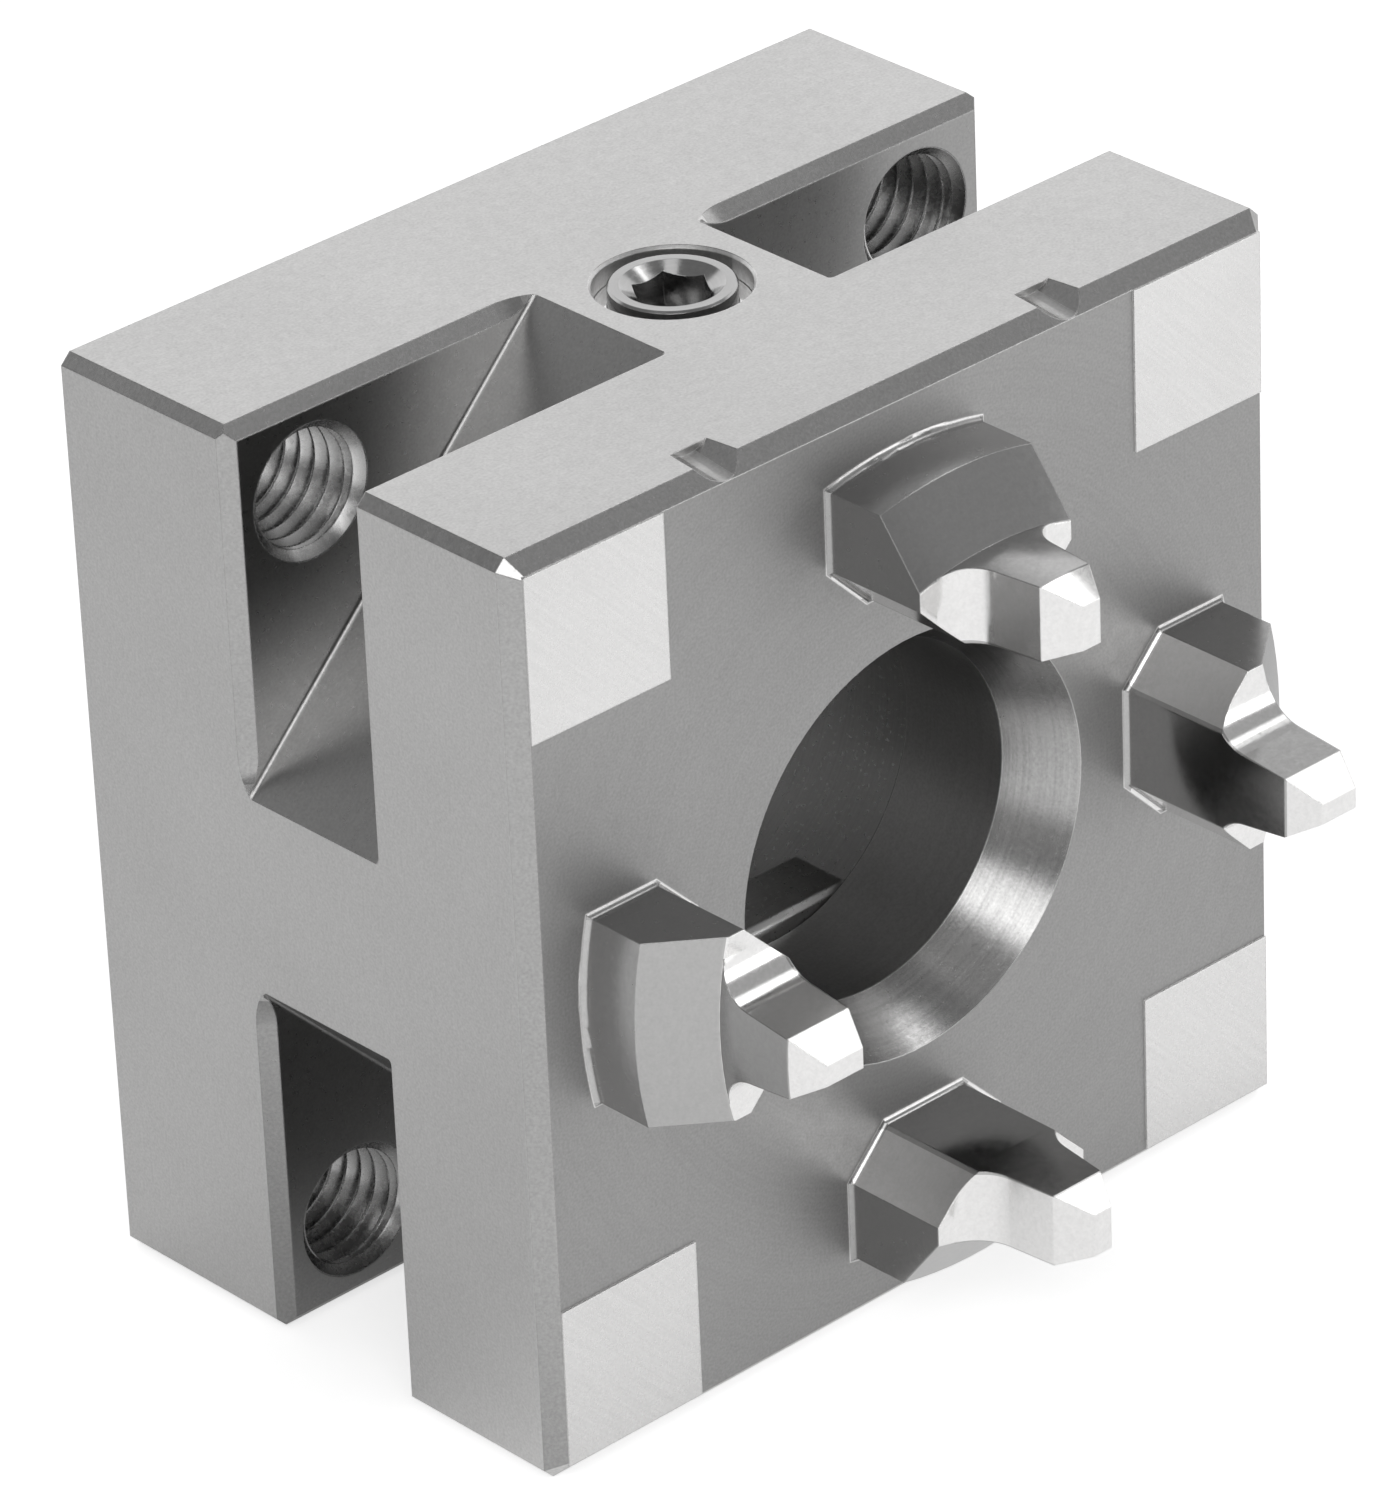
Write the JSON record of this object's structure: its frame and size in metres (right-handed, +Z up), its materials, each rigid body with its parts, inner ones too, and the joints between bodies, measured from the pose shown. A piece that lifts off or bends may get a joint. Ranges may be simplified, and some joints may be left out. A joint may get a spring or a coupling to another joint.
{
  "type": "square quick-change pallet chuck",
  "caption": "Square steel chuck with fixed centring claws, a central bore and a screw-driven lock slide, which holds a pallet or electrode holder on a machine tool",
  "frame": {"origin": "centre of the rear mounting face, on the axis of the bore", "axes": "+Y out of the rear face, claws along -Y, +Z up towards the clamping screw, +X to the right seen from the claws"},
  "size_m": [0.07, 0.0622, 0.07],
  "materials": {
    "body_steel": "fine ground",
    "slide_steel": "hardened and ground",
    "screw_steel": "turned and polished",
    "cover_steel": "ground",
    "spring_steel": "plain",
    "black_steel": "black oxide",
    "bronze": "turned",
    "rubber": "matte"
  },
  "bodies": {
    "chuck": {"chuck_body": "body_steel", "rear_cover": "cover_steel", "cover_seal": "rubber", "cover_screws": "black_steel", "cover_dowels": "spring_steel", "thrust_washer": "bronze", "ring_washer": "spring_steel", "retaining_ring": "spring_steel", "closing_ring": "spring_steel"},
    "screw": {"clamp_screw": "screw_steel"},
    "slide": {"lock_slide": "slide_steel"}
  },
  "joints": [
    {"name": "slide_lift", "type": "slide", "parent": "chuck", "child": "slide", "axis": [0, 0, 1], "range_m": [0, 0.0025]},
    {"name": "screw_turn", "type": "hinge", "parent": "chuck", "child": "screw", "pos_m": [0, -0.023, 0.03], "axis": [0, 0, -1], "range_deg": [0, 720]}
  ],
  "couplings": [
    {"joint": "screw_turn", "follows": "slide_lift", "rad_per_m": 5026.5}
  ]
}
